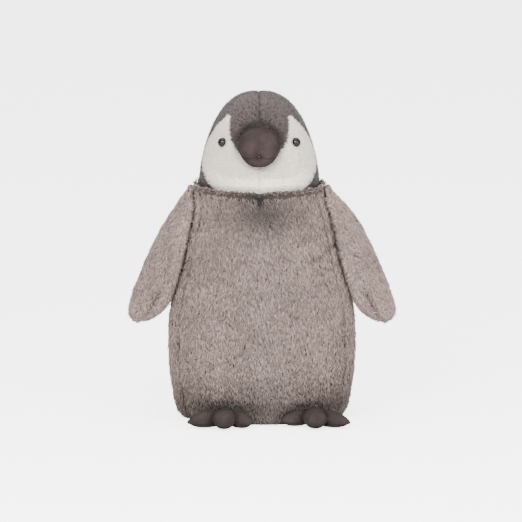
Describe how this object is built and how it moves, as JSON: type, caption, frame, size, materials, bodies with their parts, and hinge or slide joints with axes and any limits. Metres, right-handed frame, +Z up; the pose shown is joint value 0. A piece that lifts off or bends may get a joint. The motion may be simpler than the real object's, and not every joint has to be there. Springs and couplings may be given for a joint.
{
  "type": "plush penguin",
  "caption": "Standing plush penguin with a long-pile grey body, a dark hood, a white face, a stuffed suede beak, flippers that lift and three-toed suede feet.",
  "frame": {"origin": "on the floor, at the middle of the base panel", "axes": "+Z up, the penguin faces -Y, +X is the penguin's own left"},
  "size_m": [0.291, 0.179, 0.359],
  "materials": {
    "long_pile": "matte",
    "base_cloth": "matte",
    "short_grey_pile": "matte",
    "short_white_pile": "matte",
    "suede": "matte",
    "eye_plastic": "gloss",
    "washer_plastic": "satin",
    "wadding": "matte",
    "pouch_cloth": "matte",
    "bean_plastic": "matte",
    "label_satin": "satin"
  },
  "bodies": {
    "body": {"body_front_left": "long_pile", "body_front_right": "long_pile", "body_back_left": "long_pile", "body_back_right": "long_pile", "body_base": "base_cloth", "body_stuffing": "wadding", "bean_pouch": "pouch_cloth", "bean_fill": "bean_plastic", "care_label": "label_satin"},
    "neck": {"neck_stuffing": "wadding"},
    "head": {"hood_left": "short_grey_pile", "hood_right": "short_grey_pile", "face_left": "short_white_pile", "face_right": "short_white_pile", "head_stuffing": "wadding", "beak_upper": "suede", "beak_lower": "suede", "beak_stuffing": "wadding", "eye_left": "eye_plastic", "eye_right": "eye_plastic", "eye_washer_left": "washer_plastic", "eye_washer_right": "washer_plastic"},
    "wing_left": {"wing_left_outer": "long_pile", "wing_left_inner": "long_pile", "wing_left_stuffing": "wadding"},
    "wing_right": {"wing_right_outer": "long_pile", "wing_right_inner": "long_pile", "wing_right_stuffing": "wadding"},
    "foot_left": {"foot_left_top": "suede", "foot_left_sole": "suede", "foot_left_stuffing": "wadding"},
    "foot_right": {"foot_right_top": "suede", "foot_right_sole": "suede", "foot_right_stuffing": "wadding"}
  },
  "joints": [
    {"name": "neck_turn", "type": "hinge", "parent": "body", "child": "neck", "pos_m": [-0.003, 0, 0.2883], "axis": [0, 0, 1], "range_deg": [-30, 30], "stiffness_Nm_per_rad": 0.6},
    {"name": "head_nod", "type": "hinge", "parent": "neck", "child": "head", "pos_m": [-0.003, 0, 0.2883], "axis": [1, 0, 0], "range_deg": [-12, 12], "stiffness_Nm_per_rad": 0.8},
    {"name": "wing_left_flap", "type": "hinge", "parent": "body", "child": "wing_left", "pos_m": [0.0715, 0, 0.254], "axis": [0, -1, 0], "range_deg": [0, 80], "stiffness_Nm_per_rad": 0.02},
    {"name": "wing_right_flap", "type": "hinge", "parent": "body", "child": "wing_right", "pos_m": [-0.0775, 0, 0.254], "axis": [0, 1, 0], "range_deg": [0, 80], "stiffness_Nm_per_rad": 0.02},
    {"name": "foot_left_fold", "type": "hinge", "parent": "body", "child": "foot_left", "pos_m": [0.053, -0.06014, 0.0215], "axis": [-0.8981, -0.4398, 0], "range_deg": [0, 40], "stiffness_Nm_per_rad": 0.03},
    {"name": "foot_right_fold", "type": "hinge", "parent": "body", "child": "foot_right", "pos_m": [-0.039, -0.06583, 0.0215], "axis": [-0.9498, 0.3127, 0], "range_deg": [0, 40], "stiffness_Nm_per_rad": 0.03}
  ]
}
